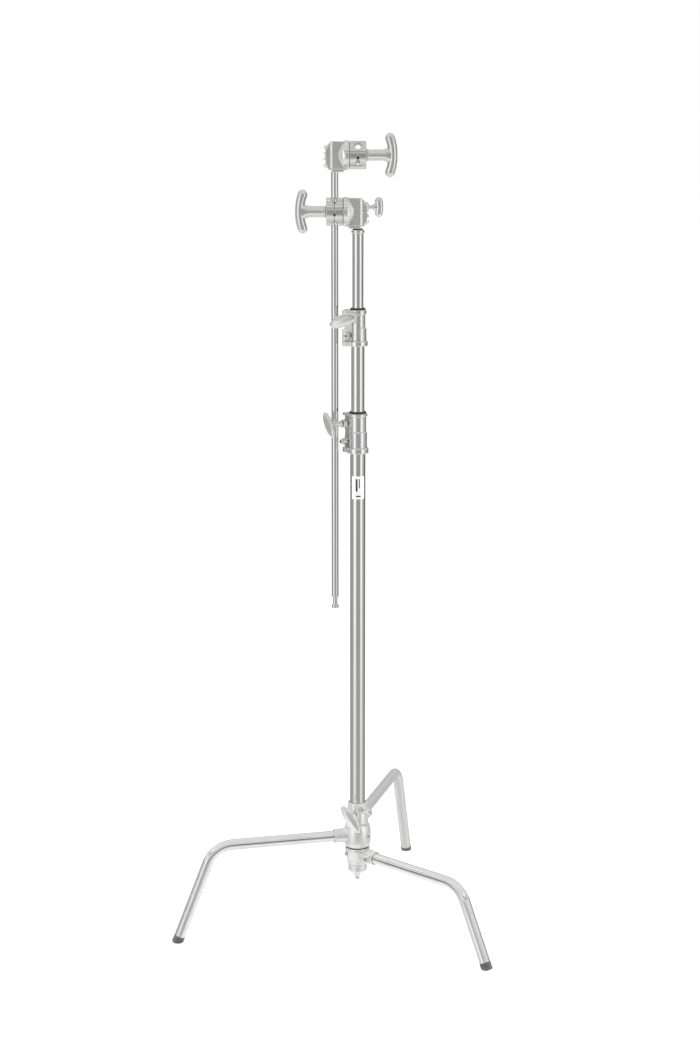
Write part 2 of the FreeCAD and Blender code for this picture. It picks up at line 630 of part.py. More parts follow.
# where the head origins lie, and the direction of local x; the arm stands in
# the 5/8 inch groove of the stand head
STAND_HEAD = Vector(0.0, 0.0, 1658.5)
ARM_X, ARM_Y = -SEAM_X, -GROOVE_Y
ARM_HEAD = Vector(ARM_X, ARM_Y, 1781.0)
HEADS = [
    dict(name="stand", origin=STAND_HEAD, x_dir=-X_AXIS, socket_r=PIN_R + RUN,
         lock_hole=rod_x(LOCK_SCREW_R + RUN, -40, 0, LOCK_Z),
         jaw_roll=0.0, rim_notches=True, side_notch_y=(12.0, 40.0)),
    dict(name="arm", origin=ARM_HEAD, x_dir=X_AXIS, socket_r=PIN_R,
         lock_hole=rod_x(CROSS_PIN_R, -40, CROSS_PIN_END, LOCK_Z),
         jaw_roll=260.0, rim_notches=False, side_notch_y=(-40.0, -12.0))]


def head_body(head):
    outline = [(27.0, -BLOCK_Y), (BLOCK_X0 + 5.2, -BLOCK_Y), (BLOCK_X0, -BLOCK_Y + 2.9),
               (BLOCK_X0, BLOCK_Y - 2.9), (BLOCK_X0 + 5.2, BLOCK_Y), (27.0, BLOCK_Y)]
    block_bottom = BLOCK_Z0 + 4.5
    block = polygon([Vector(x, y, 0) for x, y in outline])
    block = block.extrude(Vector(0, 0, BLOCK_Z1 - block_bottom))
    block.translate(Vector(0, 0, block_bottom))
    block = fillet(block, 1.2, lambda edge: (edge.BoundBox.ZMin > BLOCK_Z1 - 0.01
                                             and edge.BoundBox.XMax < 27))
    lip = box(BLOCK_X0 + 3.0, DISC_X0, -BLOCK_Y - 1.6, BLOCK_Y + 1.6,
              BLOCK_Z0, BLOCK_Z0 + LIP_TALL)
    lip = fillet(lip, 2.4, lambda edge: abs(edge.BoundBox.ZLength - LIP_TALL) < 0.01)

    # the back of the disc flares out of the flat-sided block
    cone = Part.makeCone(15.5, DISC_R - 0.4, 10.8, Vector(DISC_X0 - 10.8, 0, 0), X_AXIS)
    disc = rod_x(DISC_R, DISC_X0, DISC_X1)
    disc = fillet(disc, 3.0, lambda edge: (edge.BoundBox.XLength < 0.01
                                           and edge.BoundBox.XMin < DISC_X0 + 0.01))
    disc = fillet(disc, 1.4, lambda edge: (edge.BoundBox.XLength < 0.01
                                           and edge.BoundBox.XMin > DISC_X1 - 0.01))

    # sloping shoulder from the block to the two round bosses on the -x end
    shoulder_base = Vector(BLOCK_X0 - 9.5, 0, (BLOCK_Z0 + BLOCK_Z1) / 2)
    shoulder = Part.makeCone(19.0, 32.5, 10.0, shoulder_base, X_AXIS)
    shoulder = shoulder.common(box(-60, 0, -BLOCK_Y + 0.6, BLOCK_Y - 0.6,
                                   block_bottom, BLOCK_Z1))
    bosses = [fillet(rod_x(radius, -23.8, 2.0, z), 5.0,
                     lambda edge: edge.BoundBox.XMax < -23.79)
              for z, radius in ((LOCK_Z, 11.0), (-15.5, 12.0))]
    body = fuse(block, lip, cone, disc, shoulder, *bosses)
    return cut(body, rod_z(head["socket_r"], -60, 60), rod_x(BOLT_R, BOLT_X0, 60),
               rod_x(BOLT_HEAD_R, BOLT_X0, BOLT_HEAD_X1), head["lock_hole"])


def seam_notch(side, y0, y1, z=0.0):
    """Square bar on edge, lying in the seam along y."""
    half = side / math.sqrt(2)
    corners = [Vector(SEAM_X - half, y0, z), Vector(SEAM_X, y0, z - half),
               Vector(SEAM_X + half, y0, z), Vector(SEAM_X, y0, z + half)]
    return polygon(corners).extrude(Vector(0, y1 - y0, 0))


def head_jaw(head, x_range):
    """Jaw disc with rod grooves and notches cut in its seam side."""
    jaw = rod_x(JAW_R, *x_range)
    jaw = fillet(jaw, 1.1, lambda edge: edge.BoundBox.XLength < 0.01)
    jaw = cut(jaw, rod_z(PIN_R + RUN, -40, 40, SEAM_X, GROOVE_Y),
              rod_z(SMALL_ROD_R + RUN, -40, 40, SEAM_X, SMALL_GROOVE_Y))
    if head["rim_notches"]:
        for angle in (90, -90):
            notch = seam_notch(5.6, 11.0, 40.0)
            notch.rotate(ORIGIN, X_AXIS, angle)
            jaw = jaw.cut(notch)
    spring_pocket = rod_x(8.6, SEAM_X - 6.5, SEAM_X + 6.5)
    jaw = cut(jaw, rod_x(BOLT_R + RUN, 0, 100), spring_pocket)
    jaw.rotate(ORIGIN, X_AXIS, head["jaw_roll"])
    # this notch opens at the rim a little below centre, whatever the roll
    return jaw.cut(seam_notch(6.2, *head["side_notch_y"], z=-5.0))


def washer(radius, x0, x1):
    return rod_x(radius, x0, x1).cut(rod_x(BOLT_R + RUN, 0, 90))


def head_handle():
    handle = crescent_handle(length=96.0, width=21.5, thick=26.0, sag=6.5, bar_x=128.5,
                             stem=[(HANDLE_X0, 74.5, 13.0), (74.5, BOLT_X1, 12.25)],
                             neck_r=15.5)
    return handle.cut(rod_x(BOLT_R + RUN, 60.0, BOLT_X1 + 1))


def jaw_spring():
    spring = coil(radius=6.7, wire_r=0.8, height=12.4, turns=5.0)
    return place(spring, Vector(SEAM_X - 6.2, 0, 0), Y_AXIS, X_AXIS)


def head_lock_handle():
    """Small T-handle that locks the stand head on the pin."""
    handle = crescent_handle(length=43.5, width=17.5, thick=17.0, sag=1.4, bar_x=47.3,
                             stem=[(PIN_R + 0.2, 24.5, LOCK_SCREW_R), (24.5, 33.0, 4.3),
                                   (33.0, 38.0, 7.3)],
                             neck_r=7.6)
    return place(handle, STAND_HEAD + Vector(0, 0, LOCK_Z), X_AXIS)


for head in HEADS:
    pieces = dict(
        head_body=head_body(head),
        head_bolt=fuse(rod_x(BOLT_R, BOLT_X0, BOLT_X1),
                       rod_x(BOLT_HEAD_R, BOLT_X0, BOLT_HEAD_X1)),
        friction_washer=washer(28.6, DISC_X1, DISC_X1 + FRICTION_THICK),
        inner_jaw=head_jaw(head, INNER_JAW_X),
        outer_jaw=head_jaw(head, OUTER_JAW_X),
        jaw_spring=jaw_spring(),
        thrust_washer=washer(13.4, OUTER_JAW_X[1], 71.3),
        t_handle=head_handle())
    for name, shape in pieces.items():
        PIECES[head["name"] + "_" + name] = place(shape, head["origin"], head["x_dir"])
PIECES["head_lock_t_handle"] = head_lock_handle()


# ------------------------------------------------------------------------- arm
ARM_Z0, ARM_Z1 = 785.0, 1811.0
ARM_IN_R = PIN_R - 2.0
STUD_Z0 = 759.0


def arm_rod(radius, z0, z1):
    return rod_z(radius, z0, z1, ARM_X, ARM_Y)


def arm_end_stud():
    """Headed stud plugged into the arm's lower end."""
    stud = fuse(arm_rod(PIN_R, STUD_Z0, 766.0), arm_rod(5.2, STUD_Z0, ARM_Z0),
                arm_rod(ARM_IN_R, ARM_Z0, 815.0))
    return fillet(stud, 0.9, lambda edge: edge.BoundBox.ZMax < STUD_Z0 + 0.01)


cross_pin = place(rod_x(CROSS_PIN_R, -23.0, CROSS_PIN_END),
                  ARM_HEAD + Vector(0, 0, LOCK_Z), X_AXIS)
PIECES["arm_head_pin"] = cross_pin
PIECES["arm_tube"] = cut(arm_rod(PIN_R, ARM_Z0, ARM_Z1), arm_rod(ARM_IN_R, 700, 1900), cross_pin)
PIECES["arm_end_stud"] = arm_end_stud()


# ---------------------------------------------------------------------- output
os.makedirs("parts", exist_ok=True)
for name, shape in PIECES.items():
    shape = shape.copy()
    shape.translate(COLUMN_PLACE)
    solids = shape.Solids
    shape = solids[0] if len(solids) == 1 else Part.makeCompound(solids)
    shape.exportStep("parts/%s.step" % name)
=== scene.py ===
# A chromed stand on three legs. A telescoping column of three tubes rises along +Z
# from the floor at z = 0; clamp collars hold the tubes, and a head on its top pin and
# a second head beside it carry a long arm, drawn upright and parallel to the column.
# Pieces are drawn in millimetres about the column's axis, then moved into the frame.
import bpy
import bmesh
import math
from mathutils import Matrix, Vector


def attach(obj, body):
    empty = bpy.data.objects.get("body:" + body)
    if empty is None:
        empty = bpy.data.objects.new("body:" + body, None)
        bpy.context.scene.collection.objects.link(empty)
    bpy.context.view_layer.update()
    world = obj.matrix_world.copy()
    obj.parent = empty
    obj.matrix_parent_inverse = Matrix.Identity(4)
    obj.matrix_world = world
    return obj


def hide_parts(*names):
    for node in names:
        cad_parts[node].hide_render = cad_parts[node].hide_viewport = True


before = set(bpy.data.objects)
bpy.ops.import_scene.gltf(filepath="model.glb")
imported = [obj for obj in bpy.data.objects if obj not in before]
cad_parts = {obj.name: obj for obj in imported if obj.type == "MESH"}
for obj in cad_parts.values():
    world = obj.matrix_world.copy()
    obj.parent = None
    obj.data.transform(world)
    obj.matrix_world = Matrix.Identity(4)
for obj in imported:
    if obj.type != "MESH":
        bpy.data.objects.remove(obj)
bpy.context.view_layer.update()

MM = 0.001

# ------------------------------------------------------------------ dimensions
AXIS_AT = Vector((0.0634, -0.1179, 0.0))    # the column's axis in the frame, metres

PIN_R = 7.94                                # the top pin and the arm
LOWER_TUBE_R = 17.5
MIDDLE_TUBE_R = 15.0
TOP_TUBE_R = 12.5
STAND_HEAD = Vector((0.0, 0.0, 1658.5))
ARM_AXIS = Vector((-51.4, 17.0, 0.0))
ARM_HEAD = ARM_AXIS + Vector((0.0, 0.0, 1781.0))
HEAD_LOCK_Z = 1668.5
BASE_HANDLE_Z = 276.0
ARM_BORE_Z = 785.0                          # foot of the arm tube, round its end stud
FERRULE_Z = 1611.6                          # top of the top tube
PIN_RING_Z = 1619.0                         # top of the ferrule

# node, radius, wall, bottom, top, body
COLUMN_TUBES = (
    ("lower_tube", LOWER_TUBE_R, 1.5, 161.0, 1175.0, "column"),
    ("middle_tube", MIDDLE_TUBE_R, 1.5, 312.0, 1405.0, "middle_riser"),
    ("top_tube", TOP_TUBE_R, 1.2, 480.0, FERRULE_Z, "top_riser"),
)

# name, azimuth in degrees, height at the axis, bend's distance from the axis and height,
# foot's distance from the axis, where the tube starts along the leg, body, material
LEGS = (
    ("high", 75.8, 258.0, 412.0, 248.5, 522.0, 33.0, "base", "tube_rear"),
    ("mid", 195.3, 220.0, 341.0, 222.6, 430.0, 24.5, "mid_leg", "tube_leg"),
    ("low", -43.2, 174.0, 313.0, 174.0, 395.0, 24.5, "low_leg", "tube_leg"),
)
LEG_R = 12.5
LEG_WALL = 1.6
LEG_BEND_R = 62.0
LEG_OVAL = 0.02                             # flattening at the middle of the bend
LEG_END_GAP = 9.0                           # tube stops this far short of the floor point
FOOT_R = 13.1
FOOT_TALL = 16.0
FOOT_PAST = 3.0                             # foot drawn past the floor point, then cut flat

# node, body, bolt azimuth, bolt's distance from the axis, height,
# half length of the clamp, start of the handle's shoulder, roll of the paddle
COLLAR_HANDLES = (
    ("lower_t_handle", "lower_clamp", 214.0, 22.7, 1186.5, 13.0, 27.0, 37.0),
    ("middle_t_handle", "middle_clamp", 258.0, 20.4, 1424.0, 12.0, 26.0, -68.0),
)


def compass(degrees):
    """Level unit vector at an azimuth from +X."""
    return Vector((math.cos(math.radians(degrees)), math.sin(math.radians(degrees)), 0.0))


# ---------------------------------------------------------------- shader tools
class Graph:
    """The emptied node tree of a material or world, with an output node."""

    def __init__(self, owner, output="ShaderNodeOutputMaterial"):
        owner.use_nodes = True
        self.owner = owner
        self.tree = owner.node_tree
        self.tree.nodes.clear()
        self.output = self.add(output)

    def add(self, kind):
        return self.tree.nodes.new(kind)

    def feed(self, value, socket):
        """Links a socket, or sets a number or an RGB colour."""
        if isinstance(value, bpy.types.NodeSocket):
            self.tree.links.new(value, socket)
        elif isinstance(value, tuple):
            socket.default_value = (*value, 1)
        else:
            socket.default_value = value

    def math(self, operation, *values, clamp=False):
        n = self.add("ShaderNodeMath")
        n.operation = operation
        n.use_clamp = clamp
        for value, socket in zip(values, n.inputs):
            self.feed(value, socket)
        return n.outputs[0]

    def scaled(self, value, gain, offset, clamp=False):
        return self.math("MULTIPLY_ADD", value, gain, offset, clamp=clamp)

    def ramp(self, source, stops):
        """Colour ramp; stops are (position, grey or RGB)."""
        n = self.add("ShaderNodeValToRGB")
        elements = n.color_ramp.elements
        while len(elements) > 1:
            elements.remove(elements[-1])
        for i, (position, value) in enumerate(stops):
            if i == 0:
                element = elements[0]
                element.position = position
            else:
                element = elements.new(position)
            rgb = value if isinstance(value, tuple) else (value,) * 3
            element.color = (*rgb, 1)
        self.feed(source, n.inputs[0])
        return n.outputs[0]

    def mix(self, factor, first, second, blend="MIX"):
        n = self.add("ShaderNodeMix")
        n.data_type = "RGBA"
        n.blend_type = blend
        self.feed(factor, n.inputs[0])
        self.feed(first, n.inputs[6])
        self.feed(second, n.inputs[7])
        return n.outputs[2]

    def coords(self, scale=(1.0, 1.0, 1.0)):
        """Object coordinates, scaled."""
        n = self.add("ShaderNodeMapping")
        n.inputs["Scale"].default_value = scale
        self.feed(self.add("ShaderNodeTexCoord").outputs["Object"], n.inputs["Vector"])
        return n.outputs[0]

    def noise(self, vector, scale, detail=3.0, rough=0.5, distort=0.0):
        n = self.add("ShaderNodeTexNoise")
        n.inputs["Scale"].default_value = scale
        n.inputs["Detail"].default_value = detail
        n.inputs["Roughness"].default_value = rough
        n.inputs["Distortion"].default_value = distort
        self.feed(vector, n.inputs["Vector"])
        return n.outputs["Fac"]

    def separate(self, vector):
        n = self.add("ShaderNodeSeparateXYZ")
        self.feed(vector, n.inputs[0])
        return n.outputs

    def edges(self, stops):
        """Painted highlight on convex edges, painted shade in creases."""
        return self.ramp(self.add("ShaderNodeNewGeometry").outputs["Pointiness"], stops)

    def occlusion(self, reach, stops):
        """Painted shade where surfaces lie within reach (metres) of each other."""
        n = self.add("ShaderNodeAmbientOcclusion")
        n.inputs["Distance"].default_value = reach
        n.samples = 4
        return self.ramp(n.outputs["AO"], stops)

    def camera_mix(self, factor, unseen, seen):
        """Mixes two shaders into the output."""
        n = self.add("ShaderNodeMixShader")
        for value, socket in zip((factor, unseen, seen), n.inputs):
            self.feed(value, socket)
        self.feed(n.outputs[0], self.output.inputs[0])

    def camera_ray(self):
        return self.add("ShaderNodeLightPath").outputs["Is Camera Ray"]

    def finish(self, colour, roughness, bumps, metallic=0.0, specular=None):
        """Principled surface; bumps are (height, strength, distance in metres), chained."""
        bsdf = self.add("ShaderNodeBsdfPrincipled")
        bsdf.inputs["Metallic"].default_value = metallic
        if specular is not None:
            bsdf.inputs["Specular IOR Level"].default_value = specular
        self.feed(colour, bsdf.inputs["Base Color"])
        self.feed(roughness, bsdf.inputs["Roughness"])
        normal = None
        for height, strength, distance in bumps:
            n = self.add("ShaderNodeBump")
            n.inputs["Strength"].default_value = strength
            n.inputs["Distance"].default_value = distance
            self.feed(height, n.inputs["Height"])
            if normal is not None:
                self.feed(normal, n.inputs["Normal"])
            normal = n.outputs[0]
        self.feed(normal, bsdf.inputs["Normal"])
        self.feed(bsdf.outputs[0], self.output.inputs[0])
        return self.owner


def new_material(name):
    return Graph(bpy.data.materials.new(name))


def tone(colour, factor):
    return tuple(min(1.0, c * factor) for c in colour)


# ------------------------------------------------------------------- materials
def painted_horizon_reflection(g, colour):
    """Painted reflection: darkens the colour where the reflected ray runs near the horizon, as a
    thin dark line along the legs.
    """
    texture = g.add("ShaderNodeTexCoord")
    up = g.scaled(g.separate(texture.outputs["Reflection"])[2], gain=0.5, offset=0.5)
    # elevation of the reflected ray in degrees, brightness
    dips = ((-12, 1.0), (-5, 0.26), (4, 0.22), (11, 1.0))
    line = g.ramp(up, [(0.5 + 0.5 * math.sin(math.radians(a)), v) for a, v in dips])
    # full strength near the column, faint from the bend outwards
    place = g.separate(texture.outputs["Object"])
    dx = g.math("SUBTRACT", place[0], AXIS_AT.x)
    dy = g.math("SUBTRACT", place[1], AXIS_AT.y)
    squares = g.math("ADD", g.math("MULTIPLY", dx, dx), g.math("MULTIPLY", dy, dy))
    radius = g.math("SQRT", squares)
    # stops stand at twice the radius in metres
    along = g.ramp(g.math("MULTIPLY", radius, 2.0), [(0.56, 1.0), (0.72, 0.30)])
    return g.mix(along, colour, line, "MULTIPLY")


def chrome_tube(name, axis, base=(0.90, 0.895, 0.885), rough=0.055, horizon=False, metal=1.0):
    """Bright plated tube: fine lines along one object axis, haze patches, tiny pits."""
    g = new_material(name)
    stretch = [2600.0, 2600.0, 2600.0]
    stretch["xyz".index(axis)] = 14.0
    lines = g.noise(g.coords(stretch), scale=1.0, detail=2.0, rough=0.6)
    even = g.coords()
    haze = g.noise(even, scale=9.0, detail=4.0, rough=0.6)
    pits = g.noise(even, scale=900.0, detail=2.0)
    cloudy = g.ramp(haze, [(0.30, tone(base, 0.955)), (0.62, base), (0.80, tone(base, 1.03))])
    streaks = g.ramp(lines, [(0.35, 0.965), (0.6, 1.0)])
    colour = g.mix(1.0, cloudy, streaks, "MULTIPLY")
    # horizon paints a dark reflection line into the colour
    if horizon:
        colour = painted_horizon_reflection(g, colour)
    roughness = g.scaled(haze, gain=0.055, offset=rough - 0.02)
    roughness = g.math("MULTIPLY_ADD", lines, 0.03, roughness)
    bumps = [(lines, 0.05, 0.00003), (pits, 0.05, 0.00003), (haze, 0.05, 0.0006)]
    return g.finish(colour, roughness, bumps, metallic=metal)


def cast_chrome(name, base=(0.86, 0.855, 0.845), rough=0.17, peel=1.0, hollow_shade=0.5,
                metal=0.72, edge_shading_share=0.45, reach=0.006):
    """Plated casting: orange-peel skin; edges slightly smoother, with a painted highlight on
    them and painted shade in creases; painted shade in the hollows.
    """
    g = new_material(name)
    even = g.coords()
    big = g.noise(even, scale=55.0, rough=0.55, distort=0.3)
    mid = g.noise(even, scale=260.0, rough=0.55)
    fine = g.noise(even, scale=1500.0, detail=2.0)
    # painted highlight on convex edges, painted shade in creases
    edge = g.edges([(0.46, 0.0), (0.495, 0.42), (0.505, 0.50), (0.56, 1.0)])
    # painted shade in the hollows, from ambient occlusion
    painted_hollow_shade = g.occlusion(reach, [(0.15, hollow_shade), (0.75, 1.0)])
    body = g.ramp(big, [(0.30, tone(base, 0.93)), (0.70, base)])
    painted_edge_shading = g.mix(edge, tone(base, 0.80), (0.97, 0.97, 0.965))
    colour = g.mix(1.0, g.mix(edge_shading_share, body, painted_edge_shading), painted_hollow_shade, "MULTIPLY")
    skin = g.scaled(mid, gain=0.12, offset=rough - 0.05)
    roughness = g.math("SUBTRACT", skin, g.math("MULTIPLY", edge, 0.05), clamp=True)
    bumps = [(big, 0.22 * peel, 0.0010), (mid, 0.16 * peel, 0.00030), (fine, 0.06, 0.00004)]
    return g.finish(colour, roughness, bumps, metallic=metal)


def turned_metal(name, base=(0.83, 0.825, 0.815), rough=0.14):
    """Turned and plated jaw: tool lines in planes square to the main bolt (X); painted highlight
    on edges, painted shade in creases and hollows.
    """
    g = new_material(name)
    lines = g.noise(g.coords((2400.0, 3.0, 3.0)), scale=1.0, rough=0.6)
    big = g.noise(g.coords(), scale=70.0, rough=0.55)
    # painted highlight on convex edges, painted shade in creases
    edge = g.edges([(0.46, 0.0), (0.505, 0.5), (0.56, 1.0)])
    # painted shade in the hollows, from ambient occlusion
    painted_hollow_shade = g.occlusion(0.008, [(0.15, 0.18), (0.7, 1.0)])
    body = g.ramp(big, [(0.3, tone(base, 0.90)), (0.7, base)])
    painted_edge_shading = g.mix(edge, tone(base, 0.78), (0.97, 0.97, 0.96))
    colour = g.mix(1.0, g.mix(0.4, body, painted_edge_shading), painted_hollow_shade, "MULTIPLY")
    roughness = g.scaled(lines, gain=0.14, offset=rough - 0.05)
    bumps = [(lines, 0.16, 0.00006), (big, 0.12, 0.0006)]
    return g.finish(colour, roughness, bumps, metallic=1.0)


def zinc_steel(name, base=(0.74, 0.735, 0.725), rough=0.24):
    """Zinc-plated hardware: mottled dull film over a smooth metal, with painted shade in the
    crevices.
    """
    g = new_material(name)
    even = g.coords()
    big = g.noise(even, scale=180.0, detail=4.0, rough=0.65)
    fine = g.noise(even, scale=2200.0, detail=2.0)
    # painted shade in the crevices, from ambient occlusion
    painted_hollow_shade = g.occlusion(0.003, [(0.12, 0.16), (0.55, 1.0)])
    mottle = g.ramp(big, [(0.32, tone(base, 0.80)), (0.68, tone(base, 1.12))])
    colour = g.mix(1.0, mottle, painted_hollow_shade, "MULTIPLY")
    roughness = g.scaled(big, gain=0.18, offset=rough - 0.08)
    return g.finish(colour, roughness, [(big, 0.12, 0.0002), (fine, 0.08, 0.00004)],
                    metallic=0.85)


def moulded_rubber(name, base=(0.100, 0.102, 0.106), rough=0.62):
    """Moulded rubber: pebbled skin, scuffed lighter towards the floor."""
    g = new_material(name)
    even = g.coords()
    big = g.noise(even, scale=120.0, detail=4.0, rough=0.6)
    fine = g.noise(even, scale=1400.0, detail=2.0, rough=0.6)
    height = g.separate(g.add("ShaderNodeTexCoord").outputs["Object"])[2]
    low = g.scaled(height, gain=-160.0, offset=1.0, clamp=True)    # gone 6.25 mm up
    scuff = g.math("MULTIPLY", low, g.ramp(big, [(0.48, 0.0), (0.66, 1.0)]))
    body = g.ramp(big, [(0.3, tone(base, 0.8)), (0.7, tone(base, 1.25))])
    colour = g.mix(g.math("MULTIPLY", scuff, 0.55), body, (0.22, 0.215, 0.205))
    roughness = g.scaled(fine, gain=0.2, offset=rough - 0.1)
    return g.finish(colour, roughness, [(big, 0.15, 0.0003), (fine, 0.25, 0.0001)],
                    specular=0.4)


def dark_plastic(name, base=(0.018, 0.018, 0.019), rough=0.42):
    g = new_material(name)
    even = g.coords()
    big = g.noise(even, scale=200.0, rough=0.6)
    fine = g.noise(even, scale=3000.0, detail=2.0, rough=0.6)
    colour = g.ramp(big, [(0.3, base), (0.75, tone(base, 2.0))])
    roughness = g.scaled(big, gain=0.2, offset=rough - 0.1)
    return g.finish(colour, roughness, [(fine, 0.2, 0.00005)])


def blank_label(name):
    """White film with two plain dark bars and a thin rule."""
    g = new_material(name)
    mottle = g.noise(g.coords(), scale=300.0, rough=0.6)
    white = g.ramp(mottle, [(0.3, (0.80, 0.80, 0.785)), (0.7, (0.87, 0.87, 0.86))])
    uv = g.add("ShaderNodeUVMap")
    uv.uv_map = "UVMap"
    across, up, _ = g.separate(uv.outputs[0])

    def band(value, low, high):
        above = g.math("GREATER_THAN", value, low)
        return g.math("MULTIPLY", above, g.math("LESS_THAN", value, high))

    # each mark's left, right, bottom and top in the label's UVs
    marks = ((0.30, 0.46, 0.34, 0.88), (0.56, 0.64, 0.48, 0.88), (0.30, 0.70, 0.10, 0.16))
    boxes = [g.math("MULTIPLY", band(across, left, right), band(up, bottom, top))
             for left, right, bottom, top in marks]
    ink = boxes[0]
    for box in boxes[1:]:
        ink = g.math("MAXIMUM", ink, box)
    colour = g.mix(ink, white, (0.055, 0.055, 0.058))
    roughness = g.scaled(mottle, gain=0.2, offset=0.25)
    return g.finish(colour, roughness, [(mottle, 0.08, 0.0001)])


MAT = {
    "tube_z": chrome_tube("chrome_tube_upright", "z"),
    "tube_arm": chrome_tube("chrome_arm", "z", rough=0.06),
    "tube_leg": chrome_tube("chrome_leg", "x", base=(0.91, 0.91, 0.905), rough=0.07,
                            horizon=True, metal=0.80),
    # the rear leg's copy of the leg chrome, retoned for how light falls on it: darker base and
    # less metal, painted light and shade
    "tube_rear": chrome_tube("chrome_rear_leg_relit", "x", base=(0.63, 0.63, 0.625), rough=0.28,
                             metal=0.66),
    "cast": cast_chrome("cast_chrome", rough=0.15, metal=0.86, peel=1.5, hollow_shade=0.16,
                        edge_shading_share=0.8, reach=0.010),
    "collar": cast_chrome("cast_chrome_collar", base=(0.86, 0.86, 0.855), rough=0.11,
                          metal=0.92, peel=0.9, hollow_shade=0.16, edge_shading_share=0.8, reach=0.008),
    "cast_hub": cast_chrome("cast_chrome_hub", base=(0.89, 0.89, 0.885), rough=0.20,
                            peel=0.6, hollow_shade=0.16, metal=0.72, edge_shading_share=0.7, reach=0.009),
    "handle": cast_chrome("cast_chrome_handle", base=(0.86, 0.855, 0.85), rough=0.12,
                          peel=1.3, metal=0.90, hollow_shade=0.3, edge_shading_share=0.6, reach=0.008),
    "handle_hub": cast_chrome("cast_chrome_base_handle", base=(0.90, 0.90, 0.895),
                              rough=0.13, peel=0.9, metal=0.74, hollow_shade=0.25, edge_shading_share=0.6),
    "jaw": turned_metal("turned_jaw"),
    "steel": zinc_steel("plated_hardware"),
    "spring": zinc_steel("spring_wire", base=(0.5, 0.5, 0.49), rough=0.2),
    "rubber": moulded_rubber("rubber_foot"),
    "plastic": dark_plastic("black_bush"),
    "fibre": dark_plastic("fibre_washer", base=(0.03, 0.026, 0.022), rough=0.7),
    "label": blank_label("blank_label"),
}


# ------------------------------------------------------------------ mesh tools
def link_object(name, data):
    obj = bpy.data.objects.new(name, data)
    bpy.context.scene.collection.objects.link(obj)
    return obj


def weld(mesh, distance, recalc=False):
    bm = bmesh.new()
    bm.from_mesh(mesh)
    bmesh.ops.remove_doubles(bm, verts=bm.verts, dist=distance)
    if recalc:
        bmesh.ops.recalc_face_normals(bm, faces=bm.faces)
    bm.to_mesh(mesh)
    bm.free()


def skin(name, rings, mat, closed=False, bare=(), angle=32.0):
    """Skins rings of equal length. closed joins the last ring to the first, otherwise
    both ends are capped; bare lists places in the ring that get no face."""
    n = len(rings[0])
    rows = len(rings)
    faces = []
    for k in range(rows if closed else rows - 1):
        here, there = k * n, (k + 1) % rows * n
        for i in range(n):
            j = (i + 1) % n
            if i not in bare:
                faces.append((here + i, here + j, there + j, there + i))
    if not closed:
        faces.append(tuple(range(n)))
        faces.append(tuple(range((rows - 1) * n, rows * n)))
    mesh = bpy.data.meshes.new(name)
    mesh.from_pydata([tuple(v * MM) for ring in rings for v in ring], [], faces)
    weld(mesh, 1e-7, recalc=True)
    mesh.validate()
    mesh.shade_smooth()
    if angle:
        mesh.set_sharp_from_angle(angle=math.radians(angle))
    mesh.materials.append(mat)
    return link_object(name, mesh)


def rounded(points, radii, steps):
    """Rounds the corners of a closed section. radii: one per point, 0 keeps the corner."""
    out = []
    for i, radius in enumerate(radii):
        corner = Vector(points[i])
        if radius <= 0:
            out.append(corner)
            continue
        back = Vector(points[i - 1]) - corner
        ahead = Vector(points[(i + 1) % len(points)]) - corner
        # an arc takes less than half of either side
        limits = back.length * 0.49, ahead.length * 0.49
        back.normalize()
        ahead.normalize()
        opening = back.angle(ahead)
        if opening > math.pi - 0.02:
            out.append(corner)
            continue
        setback = min(min(radius, *limits) / math.tan(opening / 2), *limits)
        fitted = setback * math.tan(opening / 2)
        centre = corner + (back + ahead).normalized() * (fitted / math.sin(opening / 2))
        start = corner + back * setback - centre
        end = corner + ahead * setback - centre
        sweep = start.angle(end)
        sign = 1 if start.x * end.y - start.y * end.x > 0 else -1
        for k in range(steps + 1):
            turn = sweep * k / steps * sign
            c, s = math.cos(turn), math.sin(turn)
            out.append(centre + Vector((start.x * c - start.y * s, start.x * s + start.y * c)))
    return out


def lathe(name, section, mat, segs, origin=(0, 0, 0), axis="z", angle=32.0):
    """Turned solid from a closed section of (radius, distance along the axis)."""
    origin = Vector(origin)
    rings = []
    for k in range(segs):
        a = 2 * math.pi * k / segs
        c, s = math.cos(a), math.sin(a)
        ring = [Vector((r * c, r * s, t) if axis == "z" else (t, r * c, r * s))
                for r, t in section]
        rings.append([p + origin for p in ring])
    n = len(section)
    on_axis = {i for i in range(n) if section[i][0] < 1e-6 and section[(i + 1) % n][0] < 1e-6}
    return skin(name, rings, mat, closed=True, bare=on_axis, angle=angle)


def join(name, parts):
    """One mesh from several, so that a remesh can merge them."""
    bm = bmesh.new()
    mat = parts[0].data.materials[0]
    for part in parts:
        bm.from_mesh(part.data)
    mesh = bpy.data.meshes.new(name)
    bm.to_mesh(mesh)
    bm.free()
    for part in parts:
        bpy.data.objects.remove(part)
    mesh.materials.append(mat)
    return link_object(name, mesh)


def cast(obj, voxel, smooth):
    """Merges and softens a mesh as a casting: voxel remesh, then smoothing."""
    merge = obj.modifiers.new("merge", "REMESH")
    merge.mode = "VOXEL"
    merge.voxel_size = voxel * MM
    merge.use_smooth_shade = True
    soften = obj.modifiers.new("soften", "SMOOTH")
    soften.factor = 0.5
    soften.iterations = smooth
    depsgraph = bpy.context.evaluated_depsgraph_get()
    mesh = bpy.data.meshes.new_from_object(obj.evaluated_get(depsgraph))
    obj.modifiers.clear()
    mat = obj.data.materials[0]
    obj.data = mesh
    mesh.materials.clear()
    mesh.materials.append(mat)
    mesh.shade_smooth()
    return obj


def transform(obj, matrix):
    obj.data.transform(matrix)
    obj.data.update()


def adopt(obj, body, node):
    """Moves a finished piece into the frame, where it stands in for a CAD node."""
    transform(obj, Matrix.Translation(AXIS_AT))
    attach(obj, body)
    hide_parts(node)


